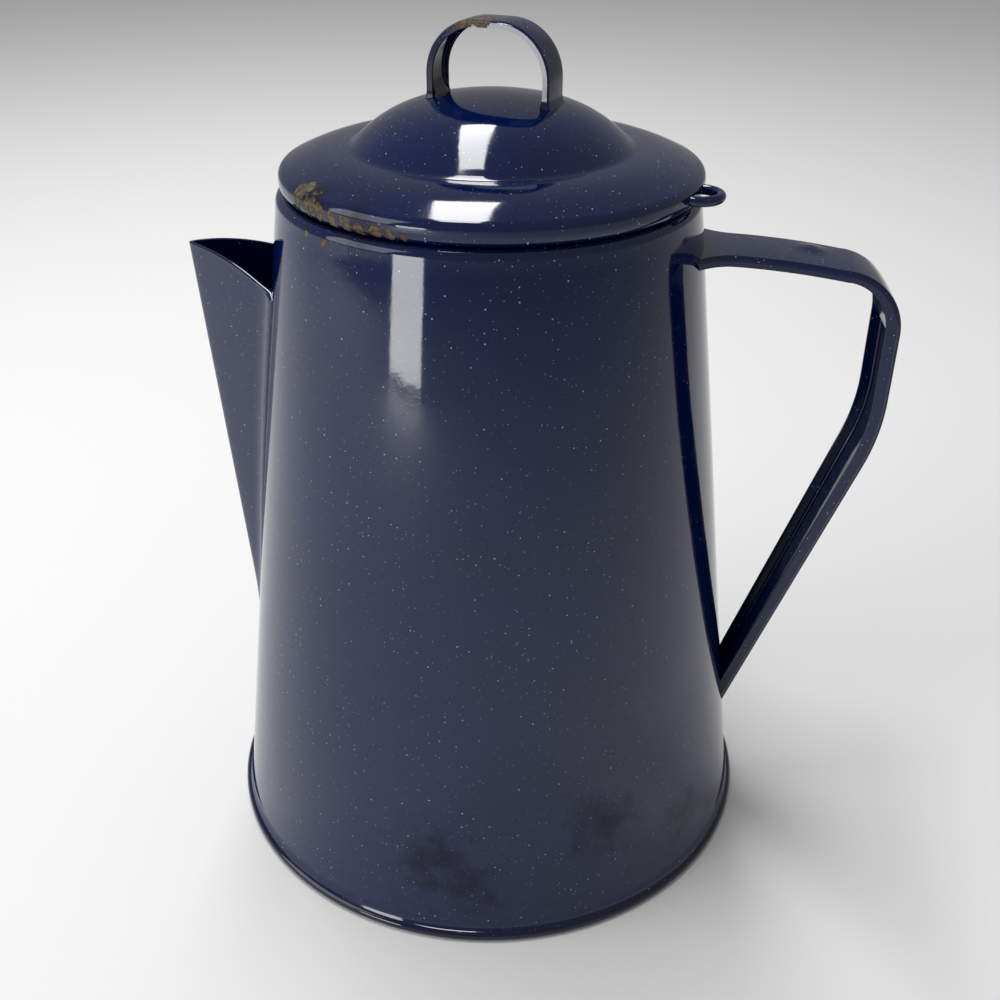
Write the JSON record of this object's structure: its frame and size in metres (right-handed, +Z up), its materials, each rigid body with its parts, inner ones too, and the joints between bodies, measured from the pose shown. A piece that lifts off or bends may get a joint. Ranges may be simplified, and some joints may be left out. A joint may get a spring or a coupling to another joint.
{
  "type": "coffee percolator",
  "caption": "Speckled enamel camp coffee percolator: conical pot with V spout, strap handle and looped lid, and a lift-out pump and perforated basket.",
  "frame": {"origin": "on the pot's axis, in the plane that the base seam rests on", "axes": "+Z up along the pot's axis, +X towards the handle, spout towards -X"},
  "size_m": [0.1892, 0.16, 0.2312],
  "materials": {
    "enamel": "glossy vitreous enamel, dark cobalt blue with fine white speckles",
    "seam": "the same enamel, thinner and darker on the crimped seam",
    "aluminium": "satin pressed aluminium"
  },
  "bodies": {
    "pot": {"body_shell": "enamel", "mouth_bead": "enamel", "base_pan": "seam", "spout": "enamel", "handle_strap": "enamel", "handle_liner": "enamel"},
    "pump": {"pump_tube": "aluminium", "pump_foot": "aluminium", "stem_stop": "aluminium"},
    "basket": {"basket_cup": "aluminium", "basket_sleeve": "aluminium"},
    "spreader": {"basket_cover": "aluminium"},
    "lid": {"lid_cover": "enamel", "lid_collar": "enamel", "lid_loop": "enamel", "lid_eyelet": "enamel"}
  },
  "joints": [
    {"name": "pump_lift", "type": "slide", "parent": "pot", "child": "pump", "axis": [0, 0, 1], "range_m": [0, 0.215]},
    {"name": "basket_lift", "type": "slide", "parent": "pump", "child": "basket", "axis": [0, 0, 1], "range_m": [0, 0.075]},
    {"name": "spreader_lift", "type": "slide", "parent": "basket", "child": "spreader", "axis": [0, 0, 1], "range_m": [0, 0.03]},
    {"name": "lid_lift", "type": "slide", "parent": "spreader", "child": "lid", "axis": [0, 0, 1], "range_m": [0, 0.06]}
  ]
}
